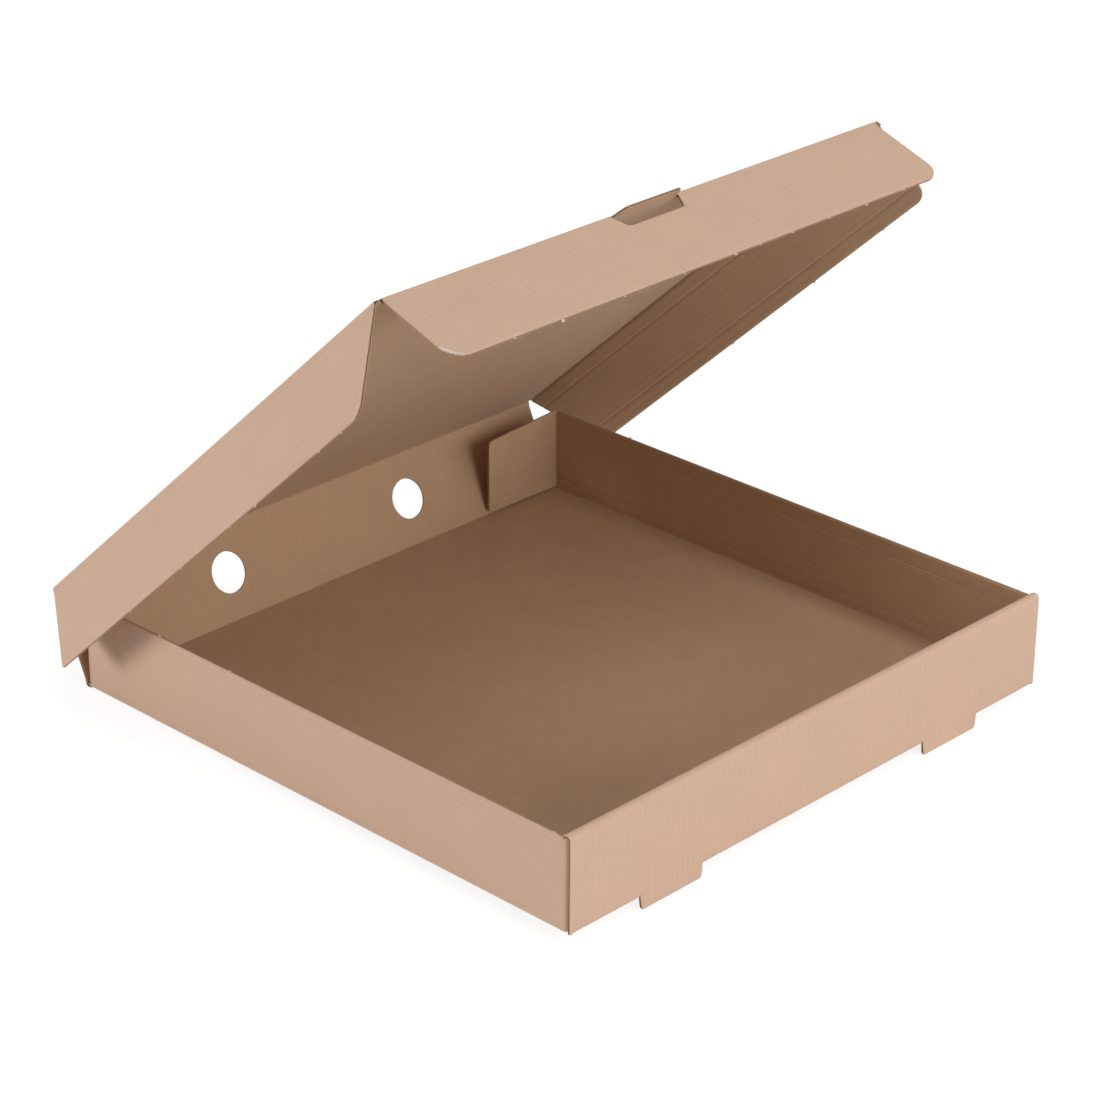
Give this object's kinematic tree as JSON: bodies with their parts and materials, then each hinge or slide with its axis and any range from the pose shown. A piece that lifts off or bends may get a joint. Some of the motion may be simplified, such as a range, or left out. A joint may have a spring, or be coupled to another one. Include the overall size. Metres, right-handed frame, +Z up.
{
  "type": "pizza box",
  "caption": "Folded corrugated card pizza box with a half-open lid, tuck-in flaps, a thumb tongue, round steam vents and small front feet.",
  "frame": {"origin": "centre of the underside of the base", "axes": "+Z up, -Y out of the front wall, +X to the right for someone who faces the front"},
  "size_m": [0.3515, 0.3242, 0.2548],
  "materials": {
    "kraft_card": "matt"
  },
  "bodies": {
    "tray": {"tray": "kraft_card"},
    "back_wall": {"back_wall": "kraft_card"},
    "lid": {"lid": "kraft_card"},
    "front_flap": {"front_flap": "kraft_card"},
    "left_flap": {"left_flap": "kraft_card"},
    "right_flap": {"right_flap": "kraft_card"}
  },
  "joints": [
    {"name": "back_wall_fold", "type": "hinge", "parent": "tray", "child": "back_wall", "pos_m": [0, 0.15175, 0.00075], "axis": [-1, 0, 0], "range_deg": [-24.5, 65.5]},
    {"name": "lid_fold", "type": "hinge", "parent": "back_wall", "child": "lid", "pos_m": [0, 0.17091, 0.04279], "axis": [-1, 0, 0], "range_deg": [-18.2, 71.8]},
    {"name": "front_flap_fold", "type": "hinge", "parent": "lid", "child": "front_flap", "pos_m": [0, -0.04589, 0.24285], "axis": [-1, 0, 0], "range_deg": [-28.2, 61.8]},
    {"name": "left_flap_fold", "type": "hinge", "parent": "lid", "child": "left_flap", "pos_m": [-0.15325, 0.06251, 0.14282], "axis": [0, 0.7349, -0.6782], "range_deg": [-30.2, 59.8]},
    {"name": "right_flap_fold", "type": "hinge", "parent": "lid", "child": "right_flap", "pos_m": [0.15325, 0.06251, 0.14282], "axis": [0, -0.7349, 0.6782], "range_deg": [-32, 58]}
  ]
}
